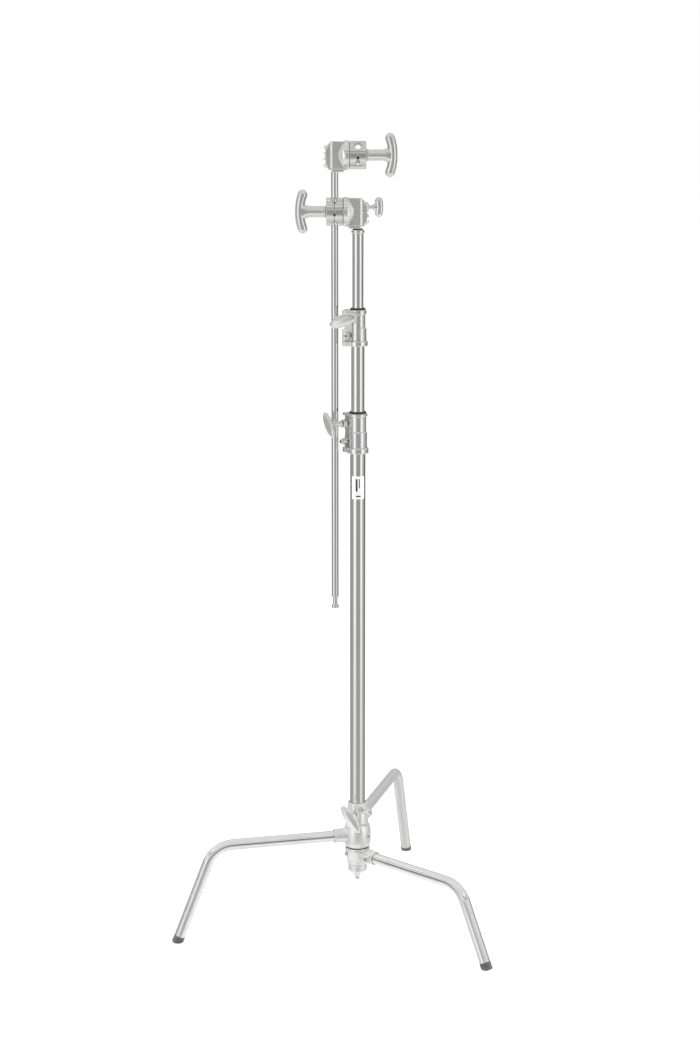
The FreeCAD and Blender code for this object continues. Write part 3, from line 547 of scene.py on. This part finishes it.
def cast_node(node, body, mat, voxel, smooth):
    """Recasts a CAD node's own mesh."""
    name = node + "_cast"
    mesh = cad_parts[node].data.copy()
    mesh.name = name
    mesh.transform(Matrix.Translation(-AXIS_AT))
    mesh.materials.clear()
    mesh.materials.append(mat)
    weld(mesh, 2e-6)
    adopt(cast(link_object(name, mesh), voxel, smooth), body, node)


# -------------------------------------------------------------- straight tubes
def tube(node, radius, wall, bottom, top, body, mat, at=(0, 0, 0), segs=128):
    bore = radius - wall
    section = [(bore, bottom), (radius, bottom), (radius, top), (bore, top)]
    corners = rounded(section, [0.3, 0.5, 0.5, 0.3], 3)
    # long walls are cut into short bands so that the mesh holds no slivers
    banded = []
    for i, a in enumerate(corners):
        b = corners[(i + 1) % len(corners)]
        banded.append(a)
        span = (b - a).length
        if span > 20:
            # a ring close to each end keeps the wall's shading straight
            steps = int(span // 60)
            stations = [0.4 / span, 4.0 / span]
            stations += [k / steps for k in range(1, steps)]
            stations += [1 - 4.0 / span, 1 - 0.4 / span]
            banded += [a.lerp(b, t) for t in stations]
    adopt(lathe(node + "_skin", banded, mat, segs, at), body, node)


for spec in COLUMN_TUBES:
    tube(*spec, MAT["tube_z"])


# ------------------------------------------------------------------------ legs
SIDE = Vector((0, 1, 0))    # each leg is drawn in the XZ plane, then turned to its azimuth


def cross_ring(centre, direction, radius, segs, oval=1.0):
    """Ring square to a direction in the XZ plane."""
    up = direction.cross(SIDE).normalized()
    angles = [2 * math.pi * i / segs for i in range(segs)]
    return [centre + SIDE * (radius * math.cos(a)) + up * (radius * oval * math.sin(a))
            for a in angles]


def leg_tube(name, hub, knee, floor_point, start, mat):
    """Hollow tube with one drawn bend."""
    straight_steps, bend_steps, segs = 8, 28, 80
    inward = (knee - hub).normalized()
    down = (floor_point - knee).normalized()
    first = hub + inward * start
    last = floor_point - down * LEG_END_GAP
    turn = inward.angle(down)
    setback = LEG_BEND_R * math.tan(turn / 2)
    bend_in, bend_out = knee - inward * setback, knee + down * setback
    normal = (down - inward * inward.dot(down)).normalized()
    centre = bend_in + normal * LEG_BEND_R
    # path stations: point, direction, ovality
    path = [(first.lerp(bend_in, k / straight_steps), inward, 1.0)
            for k in range(straight_steps + 1)]
    for k in range(1, bend_steps):
        q = turn * k / bend_steps
        direction = inward * math.cos(q) + normal * math.sin(q)
        point = (centre - normal * (LEG_BEND_R * math.cos(q))
                 + inward * (LEG_BEND_R * math.sin(q)))
        path.append((point, direction, 1.0 - LEG_OVAL * math.sin(math.pi * k / bend_steps)))
    path += [(bend_out.lerp(last, k / straight_steps), down, 1.0)
             for k in range(straight_steps + 1)]
    outer = [cross_ring(p, d, LEG_R, segs, oval) for p, d, oval in path]
    bore = [cross_ring(p, d, LEG_R - LEG_WALL, segs, oval) for p, d, oval in path]
    return skin(name, outer + bore[::-1], mat, closed=True)


def leg_foot(name, floor_point, down):
    """Rubber foot over the tube: grooved, and flat where it stands."""
    steps, segs = 26, 72
    lip_end, lip_depth = 0.1, 1.3
    grooves, groove_depth, groove_width = (0.30, 0.46, 0.62), 0.45, 0.022
    toe_start, toe_depth = 0.80, 1.6
    rings = []
    for k in range(steps + 1):
        t = k / steps
        along = -FOOT_TALL + t * (FOOT_TALL + FOOT_PAST)
        r = FOOT_R
        if t < lip_end:
            r -= lip_depth * (1 - t / lip_end) ** 2
        for groove in grooves:
            r -= groove_depth * math.exp(-((t - groove) / groove_width) ** 2)
        if t > toe_start:
            r -= toe_depth * ((t - toe_start) / 0.20) ** 2
        ring = cross_ring(floor_point + down * along, down, r, segs)
        for v in ring:
            if v.z < 0.0:
                # slide back up the foot's own axis to the floor plane
                v += down * (-v.z / down.z)
        rings.append(ring)
    foot = skin(name, rings, MAT["rubber"], angle=50.0)
    weld(foot.data, 1e-6)
    return foot


def leg(name, azimuth, hub_z, knee_r, knee_z, foot_r, start, body, mat):
    hub = Vector((0, 0, hub_z))
    knee = Vector((knee_r, 0, knee_z))
    floor_point = Vector((foot_r, 0, 0))
    turn = Matrix.Rotation(math.radians(azimuth), 4, "Z")
    metal = leg_tube(name + "_leg_tube_skin", hub, knee, floor_point, start, MAT[mat])
    transform(metal, turn)
    adopt(metal, body, name + "_leg_tube")
    foot = leg_foot(name + "_foot_skin", floor_point, (floor_point - knee).normalized())
    transform(foot, turn)
    adopt(foot, body, name + "_leg_foot")


for spec in LEGS:
    leg(*spec)


# --------------------------------------------------------------------- handles
# Each is drawn with its stem along x and its bar along z.
# Stems are lists of (start, end, radius).
def squared(value, power):
    """Sine or cosine reshaped for a superellipse; power 2 is a plain ellipse."""
    return math.copysign(abs(value) ** (2 / power), value)


def circle_steps(n):
    """(cosine, sine) pairs round a circle."""
    return [(math.cos(2 * math.pi * i / n), math.sin(2 * math.pi * i / n)) for i in range(n)]


def neck_ring(x, half_y, half_z, power=2.0):
    return [Vector((x, squared(c, power) * half_y, squared(s, power) * half_z))
            for c, s in circle_steps(40)]


def stem_part(name, stem, mat):
    section = [(0.0, stem[0][0])]
    for start, end, radius in stem:
        section += [(radius, start), (radius, end)]
    section.append((0.0, stem[-1][1]))
    radii = [0.0] + [0.6] * (len(section) - 2) + [0.0]
    return lathe(name + "_stem", rounded(section, radii, 3), mat, 64, axis="x", angle=None)


def tee(node, length, width, thick, sag, bar_x, stem, flare, voxel):
    """T-handle with a crescent bar that bows outwards by sag."""
    name, mat = node + "_cast", MAT["handle"]
    half = length / 2 - width / 2
    bow_r = (half * half + sag * sag) / (2 * sag)
    centre_x = bar_x - bow_r
    half_arc = math.asin(half / bow_r) * bow_r + width / 2    # along the bar to its tip
    steps, power = 64, 2.25
    rings = []
    for k in range(steps + 1):
        u = -1 + 2 * k / steps
        u = math.sin(u * math.pi / 2)          # closer rings towards the tips
        out = abs(u)
        past = max(0.0, (out * half_arc - (half_arc - width / 2)) / (width / 2))
        tip = math.sqrt(max(0.0, 1 - past ** 2))
        w = width / 2 * (0.93 + 0.07 * min(1.0, out * 1.3)) * tip
        t = thick / 2 * (1.0 - 0.10 * out ** 1.5) * tip ** 0.9
        w, t = max(w, 0.05), max(t, 0.05)
        a = u * half_arc / bow_r
        centre = Vector((centre_x + bow_r * math.cos(a), 0, bow_r * math.sin(a)))
        radial = Vector((math.cos(a), 0, math.sin(a)))
        rings.append([centre + radial * (squared(c, power) * w)
                      + Vector((0, squared(s, power) * t, 0)) for c, s in circle_steps(44)])
    parts = [skin(name + "_bar", rings, mat, angle=None)]
    stem_end, stem_r = stem[-1][1:]
    neck_end = bar_x - width * 0.05
    neck_start = min(stem_end, bar_x - width / 2 - flare * 0.9)
    rings = []
    for k in range(15):
        q = k / 14
        rings.append(neck_ring(neck_start + (neck_end - neck_start) * q,
                               stem_r + (thick / 2 * 0.94 - stem_r) * q ** 1.8,
                               stem_r + flare * q ** 2.2,
                               power=2.0 + 0.2 * q))
    parts.append(skin(name + "_neck", rings, mat, angle=None))
    parts.append(stem_part(name, stem, mat))
    return cast(join(name, parts), voxel, 7)


def paddle(node, bar_x, stem, mat, length=64.0, across=27.0, thick=14.5):
    """Paddle handle, its long way along z, with a soft ridge on its outer face."""
    name, neck_r, steps = node + "_cast", 9.0, 40
    rings = []
    for k in range(steps + 1):
        u = -math.cos(math.pi * k / steps)
        taper = max(0.0, 1 - abs(u) ** 2.15) ** 0.5
        half_w = max(across / 2 * taper, 0.05)
        half_t = max(thick / 2 * taper ** 0.8, 0.05)
        ring = []
        for c, s in circle_steps(44):
            x = c * half_t
            # shallow flats either side of the ridge, on the outer face only
            if c > 0:
                x -= 0.10 * half_t * math.sin(min(1.0, abs(s) * 1.1) * math.pi)
            ring.append(Vector((bar_x + x - 0.6 * u * u, s * half_w, u * length / 2)))
        rings.append(ring)
    parts = [skin(name + "_bar", rings, mat, angle=None)]
    stem_end, stem_r = stem[-1][1:]
    neck_start, neck_end = stem_end - 5.0, bar_x - thick * 0.2
    rings = []
    for k in range(11):
        q = k / 10
        rings.append(neck_ring(neck_start + (neck_end - neck_start) * q,
                               stem_r + (neck_r - stem_r) * q ** 1.6,
                               stem_r + (neck_r - stem_r) * q ** 1.3))
    parts.append(skin(name + "_neck", rings, mat, angle=None))
    parts.append(stem_part(name, stem, mat))
    return cast(join(name, parts), 0.42, 5)


def mount(obj, origin, stem_way, bar_way, body, node):
    """Sets a handle at an origin, its stem and bar along the given directions."""
    x = Vector(stem_way).normalized()
    z = Vector(bar_way)
    z = (z - x * z.dot(x)).normalized()
    y = z.cross(x)
    at = origin * MM
    transform(obj, Matrix(((x.x, y.x, z.x, at.x), (x.y, y.y, z.y, at.y),
                           (x.z, y.z, z.z, at.z), (0, 0, 0, 1))))
    adopt(obj, body, node)


UP = Vector((0, 0, 1))

for node, body, head, way in (("stand_t_handle", "stand_handle", STAND_HEAD, (-1, 0, 0)),
                              ("arm_t_handle", "arm_handle", ARM_HEAD, (1, 0, 0))):
    handle = tee(node, length=96.0, width=21.5, thick=26.0, sag=6.5, bar_x=128.5,
                 stem=[(71.5, 73.6, 13.0), (73.6, 75.4, 11.9), (75.4, 110.0, 12.25)],
                 flare=15.5, voxel=0.5)
    mount(handle, head, way, UP, body, node)

for node, body, azimuth, bolt_r, height, half, shoulder, roll in COLLAR_HANDLES:
    shoulder_start, shoulder_end = shoulder + 0.2, shoulder + 2.2
    handle = paddle(node, 63.0, [(-half - 5.0, shoulder_start, 4.0),
                                 (shoulder_start, shoulder_end, 5.3),
                                 (shoulder_end, 50.5, 6.5)], MAT["handle"])
    sideways = compass(azimuth - 90.0)
    lean = math.radians(roll)
    mount(handle, sideways * bolt_r + Vector((0, 0, height)), compass(azimuth),
          UP * math.cos(lean) + sideways * math.sin(lean), body, node)

handle = paddle("base_t_handle", 62.0, [(17.7, 32.0, 5.0), (32.0, 34.0, 4.4), (34.0, 49.0, 6.4)],
                MAT["handle_hub"], length=74.0, across=25.0, thick=15.0)
BASE_BAR_TILT = math.radians(55)    # above the level, towards -X
mount(handle, Vector((0, 0, BASE_HANDLE_Z)), compass(255.0),
      UP * math.sin(BASE_BAR_TILT) - Vector((1, 0, 0)) * math.cos(BASE_BAR_TILT),
      "base_clamp", "base_t_handle")

handle = tee("head_lock_t_handle", length=43.5, width=17.5, thick=17.0, sag=1.4, bar_x=47.3,
             stem=[(PIN_R + 0.2, 24.5, 4.75), (24.5, 33.0, 4.3), (33.0, 38.0, 7.3)],
             flare=4.5, voxel=0.35)
mount(handle, Vector((0, 0, HEAD_LOCK_Z)), (1, 0, 0), UP, "head_lock", "head_lock_t_handle")

# --------------------------------------------------------- castings and collars
# node, body, material, voxel in millimetres, smoothing passes
CASTINGS = (
    ("high_leg_casting", "base", "cast_hub", 0.55, 3),
    ("mid_leg_casting", "mid_leg", "cast_hub", 0.55, 3),
    ("low_leg_casting", "low_leg", "cast_hub", 0.55, 3),
    ("hub_cap", "base", "cast_hub", 0.5, 4),
    ("lower_collar", "column", "collar", 0.5, 3),
    ("middle_collar", "middle_riser", "collar", 0.5, 3),
    ("stand_head_body", "stand_head", "cast", 0.6, 5),
    ("arm_head_body", "arm", "cast", 0.6, 5),
    ("stand_inner_jaw", "stand_jaws", "jaw", 0.45, 2),
    ("stand_outer_jaw", "stand_outer", "jaw", 0.45, 2),
    ("arm_inner_jaw", "arm_jaws", "jaw", 0.45, 2),
    ("arm_outer_jaw", "arm_outer", "jaw", 0.45, 2),
)
for node, body, mat, voxel, smooth in CASTINGS:
    cast_node(node, body, MAT[mat], voxel, smooth)


# ------------------------------------------------- arm, column top and bushes
def turned(node, body, mat, segs, corners, at=(0, 0, 0)):
    """Turned piece; corners are (radius, height, rounding)."""
    section = rounded([corner[:2] for corner in corners], [corner[2] for corner in corners], 4)
    adopt(lathe(node + "_skin", section, MAT[mat], segs, at), body, node)


tube("arm_tube", PIN_R, 2.0, ARM_BORE_Z, 1811.0, "arm", MAT["tube_arm"], ARM_AXIS, 96)
turned("arm_end_stud", "arm", "tube_arm", 80, [
    (0, 759.0, 0), (PIN_R, 759.0, 0.9), (PIN_R, 766.0, 0.7), (5.2, 766.0, 1.0),
    (5.2, ARM_BORE_Z, 0), (PIN_R - 2.0, ARM_BORE_Z, 0), (PIN_R - 2.0, 815.0, 0.5),
    (0, 815.0, 0)], ARM_AXIS)
turned("top_ferrule", "top_riser", "tube_z", 96, [
    (PIN_R, FERRULE_Z, 0), (13.4, FERRULE_Z, 0.6), (14.6, 1613.2, 0.8),
    (14.6, 1617.4, 0.8), (13.4, PIN_RING_Z, 0.6), (PIN_R, PIN_RING_Z, 0)])
turned("pin_ring", "top_riser", "plastic", 80, [
    (PIN_R, PIN_RING_Z, 0), (11.5, PIN_RING_Z, 0.9), (11.5, 1621.9, 0.9), (PIN_R, 1621.9, 0)])

# node, body, bore, outer radius, bottom, top
for node, body, bore, outer, bottom, top in (
        ("lower_collar_bush", "column", MIDDLE_TUBE_R + 0.05, 19.3, 1210.6, 1215.0),
        ("middle_collar_bush", "middle_riser", TOP_TUBE_R + 0.05, 17.0, 1443.0, 1447.0)):
    turned(node, body, "plastic", 96, [
        (bore, bottom, 0), (outer, bottom, 0.4), (outer, top, 1.0), (bore, top, 0.8)])


# ----------------------------------------------------------------------- label
def tube_label():
    """Thin film with rounded corners, wrapped on the lower tube."""
    under_r, face_r = LOWER_TUBE_R + 0.02, LOWER_TUBE_R + 0.17
    middle, half_wrap = -87.0, 48.4                 # azimuths in degrees
    bottom, top = 1017.2, 1069.8
    corner_r = 2.6
    columns, rows = 48, 40
    start, end = math.radians(middle - half_wrap), math.radians(middle + half_wrap)
    width = (end - start) * face_r
    height = top - bottom
    face, under, uvs = [], [], []
    for j in range(rows + 1):
        y = height * (0.5 - 0.5 * math.cos(math.pi * (j / rows)))
        into_corner = 0.0
        if y < corner_r:
            into_corner = corner_r - y
        elif y > height - corner_r:
            into_corner = y - height + corner_r
        inset = corner_r - math.sqrt(max(0.0, corner_r ** 2 - into_corner ** 2))
        for i in range(columns + 1):
            x = inset + (width - 2 * inset) * i / columns
            a = start + (end - start) * x / width
            for r, points in ((face_r, face), (under_r, under)):
                points.append(Vector((r * math.cos(a), r * math.sin(a), bottom + y)))
            uvs.append((x / width, y / height))
    n = len(face)
    row = columns + 1
    faces = []
    for j in range(rows):
        for i in range(columns):
            a = j * row + i
            quad = (a, a + 1, a + row + 1, a + row)
            faces.append(quad)
            faces.append(tuple(n + v for v in reversed(quad)))
    rim = list(range(row))
    rim += [j * row + columns for j in range(1, rows + 1)]
    rim += [rows * row + i for i in range(columns - 1, -1, -1)]
    rim += [j * row for j in range(rows - 1, 0, -1)]
    for k, a in enumerate(rim):
        b = rim[(k + 1) % len(rim)]
        faces.append((a, n + a, n + b, b))
    mesh = bpy.data.meshes.new("tube_label_film")
    mesh.from_pydata([tuple(v * MM) for v in face + under], [], faces)
    layer = mesh.uv_layers.new(name="UVMap")
    for loop in mesh.loops:
        layer.data[loop.index].uv = uvs[loop.vertex_index % n]
    mesh.shade_smooth()
    mesh.set_sharp_from_angle(angle=math.radians(40))
    mesh.materials.append(MAT["label"])
    adopt(link_object("tube_label_film", mesh), "column", "tube_label")


tube_label()

# ------------------------------------------------ finishes on the kept CAD nodes
KEPT = {
    "cast": ["lower_collar_bolt", "middle_collar_bolt", "hub_nut"],
    "steel": ["high_leg_screws", "mid_leg_screws", "low_leg_screws", "hub_sleeve", "hub_plug",
              "hub_tie_bolt", "lower_collar_nuts", "middle_collar_nuts", "stand_head_bolt",
              "arm_head_bolt", "arm_head_pin", "stand_thrust_washer", "arm_thrust_washer"],
    "spring": ["hub_spring", "stand_jaw_spring", "arm_jaw_spring"],
    "fibre": ["stand_friction_washer", "arm_friction_washer"],
    "plastic": ["middle_tube_guide", "top_tube_guide"],
    "tube_z": ["top_pin"],
}
for mat, nodes in KEPT.items():
    for node in nodes:
        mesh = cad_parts[node].data
        mesh.materials.clear()
        mesh.materials.append(MAT[mat])
        mesh.shade_smooth()
        mesh.set_sharp_from_angle(angle=math.radians(30))

# -------------------------------------------------------------- camera (metres)
scene = bpy.context.scene
cam_data = bpy.data.cameras.new("camera")
cam = link_object("camera", cam_data)
cam.location = (-0.01746 + AXIS_AT.x, -4.704 + AXIS_AT.y, 1.8797)
cam.rotation_euler = (math.radians(78.88), 0.0, 0.0)
cam_data.sensor_width = 36.0
cam_data.lens = 72.50
cam_data.clip_start = 0.05
cam_data.clip_end = 100.0
scene.camera = cam


# ----------------------------------------------------------------------- floor
def pale_floor():
    """Matt white, mostly self-lit where the camera sees it."""
    g = new_material("pale_floor")
    matt = g.add("ShaderNodeBsdfPrincipled")
    g.feed((0.93, 0.93, 0.93), matt.inputs["Base Color"])
    g.feed(0.9, matt.inputs["Roughness"])
    glow = g.add("ShaderNodeEmission")
    g.feed((1, 1, 1), glow.inputs["Color"])
    g.feed(1.25, glow.inputs["Strength"])
    glow_share = g.math("MULTIPLY", g.camera_ray(), 0.80)
    g.camera_mix(glow_share, matt.outputs[0], glow.outputs[0])
    return g.owner


FLOOR_HALF = 30
floor_mesh = bpy.data.meshes.new("floor")
floor_mesh.from_pydata([(x * FLOOR_HALF, y * FLOOR_HALF, 0)
                        for x, y in ((-1, -1), (1, -1), (1, 1), (-1, 1))], [], [(0, 1, 2, 3)])
floor = link_object("floor", floor_mesh)
floor_mesh.materials.append(pale_floor())
floor.visible_glossy = False


# ----------------------------------------------------------------------- world
def linear(grey):
    """Linear light from a display grey on the 0-255 scale."""
    grey /= 255.0
    return grey / 12.92 if grey <= 0.04045 else ((grey + 0.055) / 1.055) ** 2.4


# azimuth in degrees from -Y (the camera's side) towards +X, display grey
WALL_STRIPES = (
    (-180, 160), (-150, 165), (-125, 140), (-100, 138), (-88, 148), (-70, 165), (-58, 235),
    (-50, 255), (-36, 262), (-29, 235), (-20, 165), (-5, 148), (12, 145), (26, 140),
    (36, 170), (46, 250), (62, 252), (74, 195), (90, 168), (104, 140), (118, 98),
    (136, 100), (150, 145), (180, 160),
)
WALL_GAIN = 1.12
# elevation in degrees, display grey
CEILING_BANDS = (
    (8, 176), (18, 196), (26, 214), (31, 150), (36, 142), (41, 235), (47, 245), (53, 172),
    (62, 190), (90, 205),
)


def studio_world():
    """White to the camera; reflections and light come from a studio with dark gaps:
    striped walls, a banded ceiling and a bright floor."""
    world = bpy.data.worlds.new("studio")
    scene.world = world
    g = Graph(world, "ShaderNodeOutputWorld")
    x, y, z = g.separate(g.add("ShaderNodeTexCoord").outputs["Generated"])
    azimuth = g.math("ARCTAN2", x, g.math("MULTIPLY", y, -1.0))
    azimuth = g.scaled(azimuth, gain=1 / (2 * math.pi), offset=0.5)
    elevation = g.math("MULTIPLY", g.math("ARCSINE", z), 180 / math.pi)
    # -90..90 degrees as 0..1, for the walls' fades and for the ceiling
    fade_height, ceiling_height = [
        g.scaled(elevation, gain=1 / 180.0, offset=0.5, clamp=True) for _ in range(2)]

    def walls(contrast, middle=178):
        return g.ramp(azimuth, [((a + 180) / 360,
                                 linear(middle + (grey - middle) * contrast) * WALL_GAIN)
                                for a, grey in WALL_STRIPES])

    def by_elevation(height, stops):
        return g.ramp(height, [((a + 90) / 180, value) for a, value in stops])

    ceiling = by_elevation(ceiling_height, [(a, linear(grey)) for a, grey in CEILING_BANDS])
    colour = walls(contrast=1.0)
    # layers laid over the walls in turn: elevations and strengths of the fade, colour
    layers = (
        (((-24, 1.0), (-10, 0.0)), walls(contrast=0.35)),          # washed-out lower walls
        (((-38, 1.0), (-24, 0.0)), (linear(232) * 1.1,) * 3),      # floor
        (((8, 0.0), (20, 1.0)), ceiling),
        (((-66, 1.0), (-52, 0.0)), (linear(222),) * 3),            # floor straight below
        (((48, 0.0), (62, 1.0)), (linear(212),) * 3),              # overhead
    )
    for fade, over in layers:
        colour = g.mix(by_elevation(fade_height, fade), colour, over)
    backgrounds = []
    for value in (colour, (1, 1, 1)):
        background = g.add("ShaderNodeBackground")
        g.feed(value, background.inputs[0])
        background.inputs[1].default_value = 1.0
        backgrounds.append(background.outputs[0])
    g.camera_mix(g.camera_ray(), *backgrounds)


studio_world()


# ---------------------------------------------------------------------- lights
def area(name, at, target, size, power):
    """Area light; places are in metres from the column's foot."""
    light = bpy.data.lights.new(name, "AREA")
    light.shape = "RECTANGLE"
    light.size, light.size_y = size
    light.energy = power
    obj = link_object(name, light)
    obj.location = Vector(at) + AXIS_AT
    aim = Vector(target) - Vector(at)
    obj.rotation_euler = aim.to_track_quat("-Z", "Y").to_euler()
    obj.visible_camera = False
    obj.visible_glossy = False
    return obj


# name, place, target, size, watts
for spec in (("left", (-2.35, 0.35, 1.25), (0, 0, 1.0), (1.6, 2.4), 90),
             ("right", (2.35, 0.35, 1.25), (0, 0, 1.0), (1.6, 2.4), 90),
             ("top", (0, -0.5, 4.2), (0, 0, 0.6), (2.2, 2.2), 34),
             ("front", (-0.6, -3.4, 2.3), (0, 0, 0.9), (2.0, 2.0), 22)):
    area(*spec)


def flare_light(name, side, height, receiver):
    """Lamp beside one head, seen in reflections, that lights only that head's casting."""
    lamp = area(name, at=(side * 1.30, 0.36, height + 0.04), target=(side * 0.02, 0, height),
                size=(0.95, 0.80), power=4.4)
    lamp.visible_glossy = True
    receivers = bpy.data.collections.new(name + "_on")
    receivers.objects.link(bpy.data.objects[receiver])
    lamp.light_linking.receiver_collection = receivers


flare_light("flare_upper_head", -1.0, ARM_HEAD.z * MM, "arm_head_body_cast")
flare_light("flare_lower_head", 1.0, STAND_HEAD.z * MM, "stand_head_body_cast")

scene.view_settings.view_transform = "Standard"
scene.view_settings.look = "None"
scene.view_settings.exposure = 0.0
scene.view_settings.gamma = 1.0
